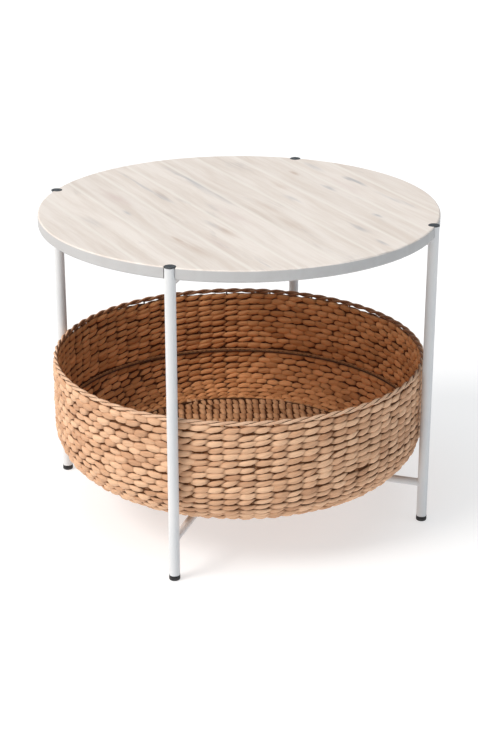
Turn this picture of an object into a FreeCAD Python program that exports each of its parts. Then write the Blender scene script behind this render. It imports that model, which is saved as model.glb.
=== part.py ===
import FreeCAD, Part
import math
import os
import re
import Sketcher

# A round occasional table: a top of edge-glued boards on a welded frame of round tube, with a woven
# bowl of a basket standing loose on the frame's lower cross. Millimetres. The origin is on the floor
# under the middle of the top, +Z is up, and the four legs stand on the X and Y axes.

os.makedirs("parts", exist_ok=True)
doc = FreeCAD.newDocument("WickerTable")

# ---------------------------------------------------------------- driving sizes
SIZES = [
    ("table_height", 483, "floor to the top face"),
    ("top_dia", 610, "diameter of the top"),
    ("top_thick", 18, "thickness of the boards"),
    ("top_edge", 2.5, "rounding of the top's rim"),
    ("board_count", 10, "boards glued side by side"),
    ("board_spare", 10, "glued blank wider than the top, before it is cut round"),
    ("board_shift", 4, "how far the middle joint lies off centre"),
    ("board_turn", -45, "direction of the joints, degrees from +X"),
    ("notch_gap", 1, "room round a leg in its notch in the top"),
    ("leg_dia", 16, "outside of a leg tube"),
    ("leg_wall", 1.2, "wall of a leg tube"),
    ("leg_inset", 3, "leg centres inside the top's rim"),
    ("cap_proud", 0.5, "cap above the top face"),
    ("cap_thick", 1.5, "flange of a cap"),
    ("cap_lip", 0.5, "flange past the tube, all round"),
    ("cap_edge", 0.6, "rounding of the flange"),
    ("foot_height", 8, "foot below the tube"),
    ("foot_lip", 0.3, "foot past the tube, all round"),
    ("foot_edge", 2, "rounding of the foot's sole"),
    ("plug_long", 14, "plug of a cap or foot inside the tube"),
    ("plug_fit", 0.2, "plug smaller than the tube's bore"),
    ("bar_dia", 12, "outside of a cross bar"),
    ("bar_wall", 1.2, "wall of a cross bar"),
    ("cope_trim", 2, "sharp lips cut off where two bars meet"),
    ("lower_cross", 64, "floor to the middle of the lower bars"),
    ("screw_dia", 4, "shank of a top screw"),
    ("screw_hole", 4.5, "hole for it through a bar"),
    ("screw_bite", 12, "shank inside the board"),
    ("screw_tip", 3, "point of the screw"),
    ("pilot_fit", 0.1, "pilot hole larger than the shank"),
    ("head_dia", 8, "screw head"),
    ("head_high", 3, "screw head"),
    ("head_slot", 1.2, "cross recess, width of an arm"),
    ("head_recess", 1.8, "cross recess, depth"),
    ("screw_inner", 130, "inner screws from the middle"),
    ("screw_outer", 220, "outer screws from the middle"),
    ("basket_gap", 2, "basket from each leg"),
    ("basket_high", 182.5, "basket from its base to its rim"),
    ("basket_wall", 10, "thickness of the weave"),
    ("basket_corner", 75, "outer radius between wall and floor"),
    ("rest_gap", 0.3, "basket above the bars it stands on"),
    ("rim_dia", 8, "bound rim, across the binding"),
    ("wire_dia", 4, "rim wire"),
    ("stake_dia", 2.5, "upright wires and rings in the weave"),
    ("stake_count", 24, "upright wires"),
    ("stake_tail", 12, "uprights run on under the floor's edge"),
    ("seam_high", 68, "base of the basket to its middle ring"),
    ("ring_sunk", 0.5, "middle ring's centre behind the inner face"),
    ("weave_fit", 0.15, "room round a wire in the weave"),
]
DERIVED = [
    ("board_width", "(top_dia + board_spare) / board_count", "width of one board"),
    ("leg_circle", "top_dia / 2 - leg_inset", "radius of the circle of leg centres"),
    ("basket_dia", "2 * leg_circle - leg_dia - 2 * basket_gap", "outside of the basket"),
    ("top_under", "table_height - top_thick", "underside of the top"),
    ("upper_cross", "top_under - bar_dia / 2", "middle of the upper bars"),
    ("leg_top", "table_height + cap_proud - cap_thick", "cut end of a leg"),
    ("leg_bore", "leg_dia - 2 * leg_wall", "inside of a leg"),
    ("bar_bore", "bar_dia - 2 * bar_wall", "inside of a bar"),
    ("plug_dia", "leg_bore - plug_fit", "plug of a cap or foot"),
    ("screw_seat", "top_under - bar_dia", "underside of the upper bars"),
    ("basket_base", "lower_cross + bar_dia / 2 + rest_gap", "underside of the basket"),
    ("core_radius", "basket_dia / 2 - basket_wall / 2", "middle of the basket's wall"),
    ("floor_radius", "basket_dia / 2 - basket_corner", "where the floor turns up into the wall"),
    ("floor_core", "basket_base + basket_wall / 2", "middle of the basket's floor"),
    ("corner_core", "basket_corner - basket_wall / 2", "middle radius between wall and floor"),
    ("bend_level", "basket_base + basket_corner", "where the wall turns upright"),
    ("rim_level", "basket_base + basket_high - rim_dia / 2", "middle of the rim"),
    ("wall_top", "rim_level - rim_dia / 2", "top of the woven wall, under the rim"),
    ("stake_top", "rim_level - wire_dia / 2", "top of the uprights, under the rim wire"),
    ("ring_radius", "floor_radius - stake_tail / 2", "radius of the ring round the floor"),
    ("ring_level", "floor_core + stake_dia", "middle of that ring, on top of the uprights' tails"),
    ("seam_level", "basket_base + seam_high", "height at which the middle ring lies"),
    ("ring_offset", "basket_corner - basket_wall + ring_sunk", "middle ring, sunk in the inner face"),
    ("seam_drop", "max(bend_level - seam_level; 0)", "middle ring below the bend"),
    ("seam_radius", "floor_radius + sqrt(ring_offset ^ 2 - seam_drop ^ 2)", "radius of the middle ring"),
]
sheet = doc.addObject("Spreadsheet::Sheet", "Sizes")
for row, (alias, value, note) in enumerate(SIZES + DERIVED, start=1):
    text = f"={value}" if isinstance(value, str) else str(value)
    sheet.set(f"A{row}", note)
    sheet.set(f"B{row}", text)
    sheet.setAlias(f"B{row}", alias)
doc.recompute()


def size(alias):
    """A size from the sheet, as a plain number."""
    return float(getattr(sheet, alias))


def bind(thing, **formulas):
    """Bind properties of an object to formulas in the sheet's names."""
    for prop, formula in formulas.items():
        thing.setExpression(prop.replace("__", "."), in_sheet(formula))


def in_sheet(formula):
    """Put the sheet's name before each of its aliases in a formula."""
    aliases = {alias for alias, _, _ in SIZES + DERIVED}
    return re.sub(r"[a-z_]+", lambda word: f"Sizes.{word[0]}" if word[0] in aliases else word[0], formula)


# ---------------------------------------------------------------- helpers
def new_body(label):
    """An empty body that may hold several solids."""
    body = doc.addObject("PartDesign::Body", label.title().replace("_", ""))
    body.Label = label
    body.AllowCompound = True
    return body


def new_sketch(body, name, plane):
    """A sketch on one of the body's own origin planes."""
    sketch = body.newObject("Sketcher::SketchObject", name)
    base = next(item for item in body.Origin.OriginFeatures if item.Role == plane)
    sketch.AttachmentSupport = (base, [""])
    sketch.MapMode = "FlatFace"
    return sketch


def add_circle(sketch, diameter, along=None, side=1):
    """A circle on the sketch's horizontal axis, at the origin unless a distance is given."""
    start = side * 50 if along else 0
    index = sketch.addGeometry(Part.Circle(FreeCAD.Vector(start, 0, 0), FreeCAD.Vector(0, 0, 1), 5))
    if along:
        sketch.addConstraint(Sketcher.Constraint("PointOnObject", index, 3, -1))
        name = f"at{index}"
        where = sketch.addConstraint(Sketcher.Constraint("DistanceX", -1, 1, index, 3, start))
        sketch.renameConstraint(where, name)
        sketch.setExpression(f"Constraints.{name}", in_sheet(f"{side} * {along}"))
    else:
        sketch.addConstraint(Sketcher.Constraint("Coincident", index, 3, -1, 1))
    round_name = f"dia{index}"
    across = sketch.addConstraint(Sketcher.Constraint("Diameter", index, 10))
    sketch.renameConstraint(across, round_name)
    sketch.setExpression(f"Constraints.{round_name}", in_sheet(diameter))
    return index


def new_pad(body, name, sketch, length, midplane=False, down=False):
    """Pad a sketch by a length in the sheet's names."""
    pad = body.newObject("PartDesign::Pad", name)
    pad.Profile = sketch
    pad.Midplane = midplane
    pad.Reversed = down
    bind(pad, Length=length)
    doc.recompute()
    return pad


def cut_through(body, name, sketch):
    """Cut a sketch right through the body, both ways, and check that it cut."""
    doc.recompute()
    before = body.Shape.Volume
    pocket = body.newObject("PartDesign::Pocket", name)
    pocket.Profile = sketch
    pocket.Type = "ThroughAll"
    pocket.Midplane = True
    doc.recompute()
    assert body.Shape.Volume < before, f"{name} cut nothing"
    return pocket


def place(thing, turn=0, **formulas):
    """Turn an object about +Z and put it where the formulas for x, y and z say."""
    axis = FreeCAD.Vector(0, 0, 1)
    thing.Placement = FreeCAD.Placement(FreeCAD.Vector(0, 0, 0), FreeCAD.Rotation(axis, turn))
    for letter, formula in formulas.items():
        thing.setExpression(f"Placement.Base.{letter}", in_sheet(formula))


def cut_away(label, base, tools):
    """The base less all of the tools, as one boolean after another."""
    result = base
    for count, tool in enumerate(tools):
        cut = doc.addObject("Part::Cut", f"{label.title().replace('_', '')}Cut{count}")
        cut.Base = result
        cut.Tool = tool
        result = cut
    result.Label = label
    return result


SIDES = {"front": -90, "right": 0, "back": 90, "left": 180}
SIDE_X = {"front": "0", "right": "leg_circle", "back": "0", "left": "-1 * leg_circle"}
SIDE_Y = {"front": "-1 * leg_circle", "right": "0", "back": "leg_circle", "left": "0"}
nodes = []


# ---------------------------------------------------------------- legs, caps and feet
def make_leg(side):
    """A straight length of tube, from the top of its foot to the underside of its cap's flange."""
    body = new_body(f"leg_{side}")
    section = new_sketch(body, f"LegSection_{side}", "XY_Plane")
    add_circle(section, "leg_dia")
    add_circle(section, "leg_bore")
    new_pad(body, f"LegTube_{side}", section, "leg_top - foot_height")
    place(body, x=SIDE_X[side], y=SIDE_Y[side], z="foot_height")
    return body


def level_edges(shape, level):
    """Names of the edges that lie wholly at one level."""
    names = []
    for number, edge in enumerate(shape.Edges, start=1):
        box = edge.BoundBox
        if abs(box.ZMin - level) < 1e-6 and abs(box.ZMax - level) < 1e-6:
            names.append(f"Edge{number}")
    return names


def make_cap(side):
    """A flanged plug with its flange upwards, and its own zero at the tube's cut end."""
    body = new_body(f"cap_{side}")
    flange = new_sketch(body, f"CapFlange_{side}", "XY_Plane")
    add_circle(flange, "leg_dia + 2 * cap_lip")
    disc = new_pad(body, f"CapDisc_{side}", flange, "cap_thick")
    edge = body.newObject("PartDesign::Fillet", f"CapEdge_{side}")
    edge.Base = (disc, level_edges(disc.Shape, size("cap_thick")))
    bind(edge, Radius="cap_edge")
    doc.recompute()
    plug = new_sketch(body, f"CapPlugSection_{side}", "XY_Plane")
    add_circle(plug, "plug_dia")
    new_pad(body, f"CapPlug_{side}", plug, "plug_long", down=True)
    place(body, x=SIDE_X[side], y=SIDE_Y[side], z="leg_top")
    return body


def make_foot(side):
    """A rubber foot that stands on the floor, with its plug up the tube."""
    body = new_body(f"foot_{side}")
    sole = new_sketch(body, f"FootSole_{side}", "XY_Plane")
    add_circle(sole, "leg_dia + 2 * foot_lip")
    disc = new_pad(body, f"FootDisc_{side}", sole, "foot_height")
    edge = body.newObject("PartDesign::Fillet", f"FootEdge_{side}")
    edge.Base = (disc, level_edges(disc.Shape, 0))
    bind(edge, Radius="foot_edge")
    doc.recompute()
    plug = new_sketch(body, f"FootPlugSection_{side}", "XY_Plane")
    add_circle(plug, "plug_dia")
    new_pad(body, f"FootPlug_{side}", plug, "foot_height + plug_long")
    place(body, x=SIDE_X[side], y=SIDE_Y[side])
    return body


for side in SIDES:
    nodes.append(make_leg(side))
    nodes.append(make_cap(side))
    nodes.append(make_foot(side))


# ---------------------------------------------------------------- crosses of round bar
def drill_bar(body, tag, ends):
    """Holes for the top screws, straight down through the bar."""
    holes = new_sketch(body, f"ScrewHoles_{tag}", "XY_Plane")
    for end in ends:
        add_circle(holes, "screw_hole", "screw_inner", end)
        add_circle(holes, "screw_hole", "screw_outer", end)
    cut_through(body, f"ScrewBores_{tag}", holes)


def make_through_bar(label, level, drilled):
    """A bar from the right leg to the left one, coped to fit both."""
    body = new_body(label)
    section = new_sketch(body, f"Section_{label}", "YZ_Plane")
    add_circle(section, "bar_dia")
    add_circle(section, "bar_bore")
    new_pad(body, f"Tube_{label}", section, "2 * leg_circle", midplane=True)
    cope = new_sketch(body, f"Cope_{label}", "XY_Plane")
    for end in (1, -1):
        add_circle(cope, "leg_dia", "leg_circle", end)
    cut_through(body, f"Copes_{label}", cope)
    if drilled:
        drill_bar(body, label, (1, -1))
    place(body, z=level)
    return body


def make_half_bar(label, level, side, drilled):
    """A bar from the middle of the through bar out to a leg, coped at both ends."""
    body = new_body(label)
    section = new_sketch(body, f"Section_{label}", "YZ_Plane")
    bind(section, AttachmentOffset__Base__z="cope_trim")
    add_circle(section, "bar_dia")
    add_circle(section, "bar_bore")
    new_pad(body, f"Tube_{label}", section, "leg_circle - cope_trim")
    cope = new_sketch(body, f"LegCope_{label}", "XY_Plane")
    add_circle(cope, "leg_dia", "leg_circle")
    cut_through(body, f"LegCopes_{label}", cope)
    middle = new_sketch(body, f"BarCope_{label}", "XZ_Plane")
    add_circle(middle, "bar_dia")
    cut_through(body, f"BarCopes_{label}", middle)
    if drilled:
        drill_bar(body, label, (1,))
    place(body, turn=SIDES[side], z=level)
    return body


for cross, level, drilled in (("lower", "lower_cross", False), ("upper", "upper_cross", True)):
    nodes.append(make_through_bar(f"{cross}_through_bar", level, drilled))
    for side in ("front", "back"):
        nodes.append(make_half_bar(f"{cross}_half_bar_{side}", level, side, drilled))


# ---------------------------------------------------------------- top
def make_blank():
    """The whole round top, notched for the legs and drilled from below for the screws."""
    body = new_body("top_blank")
    outline = new_sketch(body, "TopOutline", "XY_Plane")
    add_circle(outline, "top_dia")
    disc = new_pad(body, "TopDisc", outline, "top_thick")
    rim = body.newObject("PartDesign::Fillet", "TopRim")
    rim.Base = (disc, level_edges(disc.Shape, 0) + level_edges(disc.Shape, size("top_thick")))
    bind(rim, Radius="top_edge")
    doc.recompute()
    for turn, plane in (("Across", "X"), ("Along", "Y")):
        notches = new_sketch(body, f"Notches{turn}", "XY_Plane")
        pilots = new_sketch(body, f"Pilots{turn}", "XY_Plane")
        for sketch in (notches, pilots):
            sketch.AttachmentOffset = FreeCAD.Placement(
                FreeCAD.Vector(0, 0, 0),
                FreeCAD.Rotation(FreeCAD.Vector(0, 0, 1), 0 if plane == "X" else 90),
            )
        for end in (1, -1):
            add_circle(notches, "leg_dia + 2 * notch_gap", "leg_circle", end)
            add_circle(pilots, "screw_dia + pilot_fit", "screw_inner", end)
            add_circle(pilots, "screw_dia + pilot_fit", "screw_outer", end)
        cut_through(body, f"LegNotches{turn}", notches)
        before = body.Shape.Volume
        holes = body.newObject("PartDesign::Pocket", f"PilotHoles{turn}")
        holes.Profile = pilots
        holes.Reversed = True
        bind(holes, Length="screw_bite + pilot_fit")
        doc.recompute()
        assert body.Shape.Volume < before, "the pilot holes cut nothing"
    place(body, z="top_under")
    return body


blank = make_blank()
OVERSIZE = 10


def make_board(number):
    """One board: the part of the blank between two joints."""
    slab = doc.addObject("Part::Box", f"Slab{number}")
    bind(slab, Length=f"top_dia + {2 * OVERSIZE}", Width="board_width", Height=f"top_thick + {2 * OVERSIZE}")
    along = f"(-0.5 * top_dia - {OVERSIZE})"
    across = f"(board_shift + ({number - 1} - board_count / 2) * board_width)"
    cosine = "cos(board_turn * 1 deg)"
    sine = "sin(board_turn * 1 deg)"
    place(
        slab,
        turn=size("board_turn"),
        x=f"{along} * {cosine} - {across} * {sine}",
        y=f"{along} * {sine} + {across} * {cosine}",
        z=f"top_under - {OVERSIZE}",
    )
    board = doc.addObject("Part::Common", f"Board{number}")
    board.Base = blank
    board.Tool = slab
    board.Label = f"top_board_{number:02d}"
    return board


for number in range(1, int(size("board_count")) + 1):
    nodes.append(make_board(number))


# ---------------------------------------------------------------- top screws
def make_screw(number, x, y):
    """One pan-head wood screw, up through a bar into a board, with a cross recess in its head."""
    head = doc.addObject("Part::Cylinder", f"ScrewHead{number}")
    bind(head, Radius="head_dia / 2", Height="head_high")
    place(head, z="-1 * head_high")
    shank = doc.addObject("Part::Cylinder", f"ScrewShank{number}")
    bind(shank, Radius="screw_dia / 2", Height="bar_dia + screw_bite - screw_tip")
    point = doc.addObject("Part::Cone", f"ScrewPoint{number}")
    point.Radius2 = 0
    bind(point, Radius1="screw_dia / 2", Height="screw_tip")
    place(point, z="bar_dia + screw_bite - screw_tip")
    whole = doc.addObject("Part::MultiFuse", f"ScrewSolid{number}")
    whole.Shapes = [head, shank, point]
    arms = []
    for turn in (0, 90):
        arm = doc.addObject("Part::Box", f"ScrewArm{number}_{turn}")
        bind(arm, Length="head_dia / 2", Width="head_slot", Height="head_recess")
        long_way, short_way = "-1 * head_dia / 4", "-1 * head_slot / 2"
        if turn == 0:
            place(arm, x=long_way, y=short_way, z="-1 * head_high")
        else:
            place(arm, turn=turn, x="head_slot / 2", y=long_way, z="-1 * head_high")
        arms.append(arm)
    recess = doc.addObject("Part::MultiFuse", f"ScrewRecess{number}")
    recess.Shapes = arms
    screw = doc.addObject("Part::Cut", f"Screw{number}")
    screw.Base = whole
    screw.Tool = recess
    place(screw, x=x, y=y, z="screw_seat")
    return screw


screws = []
for reach in ("screw_inner", "screw_outer"):
    for sign in ("1", "-1"):
        screws.append(make_screw(len(screws), f"{sign} * {reach}", "0"))
        screws.append(make_screw(len(screws), "0", f"{sign} * {reach}"))
top_screws = doc.addObject("Part::Compound", "TopScrews")
top_screws.Links = screws
top_screws.Label = "top_screws"
nodes.append(top_screws)


# ---------------------------------------------------------------- basket
def make_ring(label, radius, level, thickness):
    """A ring of round wire, or the room for one, level at the given height."""
    ring = doc.addObject("Part::Torus", label.title().replace("_", ""))
    ring.Label = label
    bind(ring, Radius1=radius, Radius2=f"({thickness}) / 2")
    place(ring, z=level)
    return ring


def make_stakes(label, thickness, reach):
    """The upright wires: from the rim, down the wall and round the bend to under the floor's edge."""
    tag = label.title().replace("_", "")
    body = new_body(label)
    path = new_sketch(body, f"Path{tag}", "XZ_Plane")
    middle = FreeCAD.Vector(size("floor_radius"), size("bend_level"), 0)
    bend = size("corner_core")
    top = FreeCAD.Vector(size("core_radius"), size(reach), 0)
    shoulder = FreeCAD.Vector(size("core_radius"), size("bend_level"), 0)
    path.addGeometry(Part.LineSegment(top, shoulder))
    up = FreeCAD.Vector(0, 0, 1)
    path.addGeometry(Part.ArcOfCircle(Part.Circle(middle, up, bend), -math.pi / 2, 0))
    heel = FreeCAD.Vector(size("floor_radius"), size("floor_core"), 0)
    toe = heel - FreeCAD.Vector(size("stake_tail"), 0, 0)
    path.addGeometry(Part.LineSegment(heel, toe))
    path.addConstraint(Sketcher.Constraint("Coincident", 0, 2, 1, 2))
    path.addConstraint(Sketcher.Constraint("Coincident", 1, 1, 2, 1))
    path.addConstraint(Sketcher.Constraint("Vertical", 0))
    path.addConstraint(Sketcher.Constraint("Horizontal", 2))
    path.addConstraint(Sketcher.Constraint("Horizontal", 1, 3, 1, 2))
    path.addConstraint(Sketcher.Constraint("Vertical", 1, 3, 1, 1))
    drive(path, "DistanceX", (-1, 1, 1, 3), "floor_radius")
    drive(path, "DistanceY", (-1, 1, 1, 3), "bend_level")
    drive(path, "DistanceY", (-1, 1, 0, 1), reach)
    drive(path, "DistanceX", (2, 2, 2, 1), "stake_tail")
    drive(path, "Radius", (1,), "corner_core")
    section = new_sketch(body, f"Section{tag}", "XY_Plane")
    bind(section, AttachmentOffset__Base__z=reach)
    add_circle(section, thickness, "core_radius")
    doc.recompute()
    stake = body.newObject("PartDesign::AdditivePipe", f"Stake{tag}")
    stake.Profile = section
    stake.Spine = (path, ["Edge1", "Edge2", "Edge3"])
    doc.recompute()
    pattern = body.newObject("PartDesign::PolarPattern", f"Round{tag}")
    pattern.Originals = [stake]
    pattern.Axis = (section, ["N_Axis"])
    pattern.Angle = 360
    pattern.setExpression("Occurrences", in_sheet("stake_count"))
    body.Tip = pattern
    place(body, turn=HALF_PITCH)
    doc.recompute()
    return body


def drive(sketch, kind, ends, formula):
    """A named dimension in a sketch, bound to a formula in the sheet's names."""
    where = sketch.addConstraint(Sketcher.Constraint(kind, *ends, 1.0 + sketch.ConstraintCount))
    name = f"drive{where}"
    sketch.renameConstraint(where, name)
    sketch.setExpression(f"Constraints.{name}", in_sheet(formula))


def make_wall():
    """The woven wall, turned from its section: upright, then round the bend to the floor's edge."""
    body = new_body("wall_blank")
    outline = new_sketch(body, "WallSection", "XZ_Plane")
    middle = FreeCAD.Vector(size("floor_radius"), size("bend_level"), 0)
    outer, inner = size("basket_corner"), size("basket_corner") - size("basket_wall")
    level, top = size("bend_level"), size("wall_top")
    out_x, in_x = middle.x + outer, middle.x + inner
    up = FreeCAD.Vector(0, 0, 1)
    corners = [(out_x, level), (out_x, top), (in_x, top), (in_x, level)]
    points = [FreeCAD.Vector(x, y, 0) for x, y in corners]
    outline.addGeometry(Part.ArcOfCircle(Part.Circle(middle, up, outer), -math.pi / 2, 0))
    for start, end in zip(points, points[1:]):
        outline.addGeometry(Part.LineSegment(start, end))
    outline.addGeometry(Part.ArcOfCircle(Part.Circle(middle, up, inner), -math.pi / 2, 0))
    foot = [middle - FreeCAD.Vector(0, reach, 0) for reach in (inner, outer)]
    outline.addGeometry(Part.LineSegment(*foot))
    joins = [(0, 2, 1, 1), (1, 2, 2, 1), (2, 2, 3, 1), (3, 2, 4, 2), (4, 1, 5, 1), (5, 2, 0, 1)]
    for join in joins:
        outline.addConstraint(Sketcher.Constraint("Coincident", *join))
    outline.addConstraint(Sketcher.Constraint("Coincident", 0, 3, 4, 3))
    for line in (1, 3, 5):
        outline.addConstraint(Sketcher.Constraint("Vertical", line))
    outline.addConstraint(Sketcher.Constraint("Horizontal", 2))
    outline.addConstraint(Sketcher.Constraint("Horizontal", 0, 3, 0, 2))
    outline.addConstraint(Sketcher.Constraint("Horizontal", 4, 3, 4, 2))
    outline.addConstraint(Sketcher.Constraint("Vertical", 0, 3, 0, 1))
    drive(outline, "DistanceX", (-1, 1, 0, 3), "floor_radius")
    drive(outline, "DistanceY", (-1, 1, 0, 3), "bend_level")
    drive(outline, "DistanceY", (-1, 1, 2, 1), "wall_top")
    drive(outline, "Radius", (0,), "basket_corner")
    drive(outline, "Radius", (4,), "basket_corner - basket_wall")
    doc.recompute()
    turned = body.newObject("PartDesign::Revolution", "WallTurned")
    turned.Profile = outline
    turned.ReferenceAxis = (outline, ["V_Axis"])
    turned.Angle = 360
    doc.recompute()
    return body


def make_groove():
    """Room for the floor ring: a square groove, open to the room for the tails under it."""
    drums = []
    for name, sign in (("GrooveOuter", "+"), ("GrooveInner", "-")):
        drum = doc.addObject("Part::Cylinder", name)
        bind(drum, Radius=f"ring_radius {sign} (stake_dia / 2 + weave_fit)",
             Height="ring_level - floor_core + stake_dia / 2 + weave_fit")
        place(drum, z="floor_core")
        drums.append(drum)
    groove = doc.addObject("Part::Cut", "Groove")
    groove.Base, groove.Tool = drums
    return groove


HALF_PITCH = 180 / size("stake_count")  # turns the uprights clear of the round faces' seams
BINDING_TURN = HALF_PITCH / 3  # and the binding's own seam clear of the uprights' channels
stake_room = make_stakes("stake_room", "stake_dia + 2 * weave_fit", "rim_level")
seam_room = make_ring("seam_room", "seam_radius", "seam_level", "stake_dia + 2 * weave_fit")
floor_room = make_groove()
rim_room = make_ring("rim_room", "core_radius", "rim_level", "wire_dia + 2 * weave_fit")

floor_blank = doc.addObject("Part::Cylinder", "FloorBlank")
bind(floor_blank, Radius="floor_radius", Height="basket_wall")
place(floor_blank, z="basket_base")
binding_blank = make_ring("binding_blank", "core_radius", "rim_level", "rim_dia")
place(binding_blank, turn=BINDING_TURN, z="rim_level")

nodes.append(cut_away("basket_wall", make_wall(), [stake_room, seam_room]))
nodes.append(cut_away("basket_floor", floor_blank, [stake_room, floor_room]))
nodes.append(cut_away("rim_binding", binding_blank, [rim_room, stake_room]))
nodes.append(make_ring("rim_wire", "core_radius", "rim_level", "wire_dia"))
nodes.append(make_ring("middle_ring", "seam_radius", "seam_level", "stake_dia"))
nodes.append(make_ring("floor_ring", "ring_radius", "ring_level", "stake_dia"))
nodes.append(make_stakes("upright_wires", "stake_dia", "stake_top"))

# ---------------------------------------------------------------- check and write
doc.recompute()
for thing in doc.Objects:
    assert not {"Invalid", "Error"} & set(thing.State), f"{thing.Name} failed: {thing.State}"
for node in nodes:
    shape = node.Shape
    assert not shape.isNull() and shape.isValid(), f"{node.Label} has no sound shape"
    shape.exportStep(f"parts/{node.Label}.step")
    print(f"{node.Label}: {len(shape.Solids)} solid(s), {shape.Volume / 1000:.1f} cm3")
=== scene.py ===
# %% [markdown]
# # A round table with a basket under it
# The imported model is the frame: legs, bars, boards, caps, feet and screws keep their shapes and get
# finishes. The basket is soft, so its plain solids are replaced by strands that are woven here.
# Lengths are in metres, +Z is up, and the floor is at zero.

# %% Load the frame
import math

import bmesh
import bpy
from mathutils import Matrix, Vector


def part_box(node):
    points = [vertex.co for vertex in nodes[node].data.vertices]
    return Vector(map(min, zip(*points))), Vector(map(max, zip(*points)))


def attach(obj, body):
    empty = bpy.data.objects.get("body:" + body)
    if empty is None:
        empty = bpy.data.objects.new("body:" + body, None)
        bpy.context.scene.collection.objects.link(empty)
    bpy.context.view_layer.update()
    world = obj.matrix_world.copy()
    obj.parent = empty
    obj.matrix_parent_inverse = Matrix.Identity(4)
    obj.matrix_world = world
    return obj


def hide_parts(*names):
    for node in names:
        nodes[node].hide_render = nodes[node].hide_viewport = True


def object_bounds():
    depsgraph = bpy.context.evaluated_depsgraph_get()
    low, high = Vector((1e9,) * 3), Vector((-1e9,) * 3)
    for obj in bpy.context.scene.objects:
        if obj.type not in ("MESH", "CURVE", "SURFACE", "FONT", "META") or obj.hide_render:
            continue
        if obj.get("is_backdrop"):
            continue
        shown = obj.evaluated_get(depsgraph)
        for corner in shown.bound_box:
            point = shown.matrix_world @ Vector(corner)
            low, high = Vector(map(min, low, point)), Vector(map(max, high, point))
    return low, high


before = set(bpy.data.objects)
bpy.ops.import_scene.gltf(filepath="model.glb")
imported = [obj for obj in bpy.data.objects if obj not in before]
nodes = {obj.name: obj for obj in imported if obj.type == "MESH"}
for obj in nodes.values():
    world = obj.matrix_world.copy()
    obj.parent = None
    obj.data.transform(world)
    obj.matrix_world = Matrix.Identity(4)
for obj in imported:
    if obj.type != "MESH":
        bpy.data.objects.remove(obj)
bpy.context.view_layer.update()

MM = 0.001

# %% [markdown]
# ## Camera
# The view is settled first, because every later choice is judged through it. The camera looks at the
# middle of the table from a little to the right of the front leg, and from above the top. A long lens
# keeps the legs nearly upright. Its place is worked out from a turn, a tilt and a distance, so each can
# be tried on its own.

# %% Camera
LOOK_TURN = math.radians(18.22)
LOOK_TILT = math.radians(21.83)
LOOK_AWAY = 2.678
LOOK_AT = Vector((0, 0, 0.219))
LENS = 82.94

toward = Vector((
    math.sin(LOOK_TURN) * math.cos(LOOK_TILT),
    -math.cos(LOOK_TURN) * math.cos(LOOK_TILT),
    math.sin(LOOK_TILT),
))
camera = bpy.data.objects.new("camera", bpy.data.cameras.new("camera"))
camera.data.lens = LENS
camera.location = LOOK_AT + toward * LOOK_AWAY
camera.rotation_euler = (-toward).to_track_quat("-Z", "Y").to_euler()
bpy.context.scene.collection.objects.link(camera)
bpy.context.scene.camera = camera
bpy.context.scene.view_settings.view_transform = "Standard"
print("camera at", [round(v, 3) for v in camera.location])


def seen_from(turn):
    """The level direction that lies this many degrees to the right of the camera, round the table."""
    angle = LOOK_TURN + math.radians(turn)
    return Vector((math.sin(angle), -math.cos(angle), 0))


# %% [markdown]
# ## Node trees, written like formulas
# Finishes and woven rows are both node trees. A few helpers keep them readable: one adds a node and
# feeds its sockets, and the others each do one step of arithmetic. A value may be a number or another
# socket.

# %% Helpers for node trees
def feed(tree, socket, value):
    """Link a socket to another one, or set it."""
    if isinstance(value, bpy.types.NodeSocket):
        tree.links.new(value, socket)
    elif value is not None:
        socket.default_value = value


def add(tree, kind, inputs=None, **settings):
    """Add a node, set it up and feed the sockets that are in use, by name or by number."""
    node = tree.nodes.new(kind)
    for name, value in settings.items():
        setattr(node, name, value)
    for key, value in (inputs or {}).items():
        if isinstance(key, int):
            socket = node.inputs[key]
        else:
            socket = next(s for s in node.inputs if s.name == key and s.enabled)
        feed(tree, socket, value)
    return node


def calc(tree, operation, *values):
    """One step of arithmetic on numbers."""
    node = add(tree, "ShaderNodeMath", dict(enumerate(values)), operation=operation)
    return node.outputs[0]


def total(tree, first, second):
    return calc(tree, "ADD", first, second)


def less(tree, value, taken):
    return calc(tree, "SUBTRACT", value, taken)


def absolute(tree, value):
    return calc(tree, "ABSOLUTE", value)


def product(tree, first, *others):
    """All of the values multiplied, in order."""
    for value in others:
        first = calc(tree, "MULTIPLY", first, value)
    return first


def ratio(tree, value, divisor):
    return calc(tree, "DIVIDE", value, divisor)


def vector(tree, operation, *values):
    """One step of arithmetic on vectors. A scale takes its factor last."""
    node = tree.nodes.new("ShaderNodeVectorMath")
    node.operation = operation
    slots = [0, 3] if operation == "SCALE" else range(len(values))
    for slot, value in zip(slots, values):
        feed(tree, node.inputs[slot], value)
    return node.outputs["Value"] if operation in ("DOT_PRODUCT", "LENGTH") else node.outputs["Vector"]


def spread(tree, value, low, high, out_low=0.0, out_high=1.0, smooth=False):
    """Map a range of numbers onto another one, and keep to its ends."""
    kind = "SMOOTHSTEP" if smooth else "LINEAR"
    names = ("Value", "From Min", "From Max", "To Min", "To Max")
    inputs = dict(zip(names, (value, low, high, out_low, out_high)))
    return add(tree, "ShaderNodeMapRange", inputs, interpolation_type=kind).outputs[0]


def combine(tree, x, y, z):
    return add(tree, "ShaderNodeCombineXYZ", {"X": x, "Y": y, "Z": z}).outputs[0]


def split(tree, value):
    """The X, Y and Z of a vector."""
    return add(tree, "ShaderNodeSeparateXYZ", {"Vector": value}).outputs


def turn_round(tree, value, angle):
    """A vector turned about the vertical axis."""
    inputs = {"Vector": value, "Axis": (0, 0, 1), "Angle": angle}
    return add(tree, "ShaderNodeVectorRotate", inputs).outputs[0]


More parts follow.
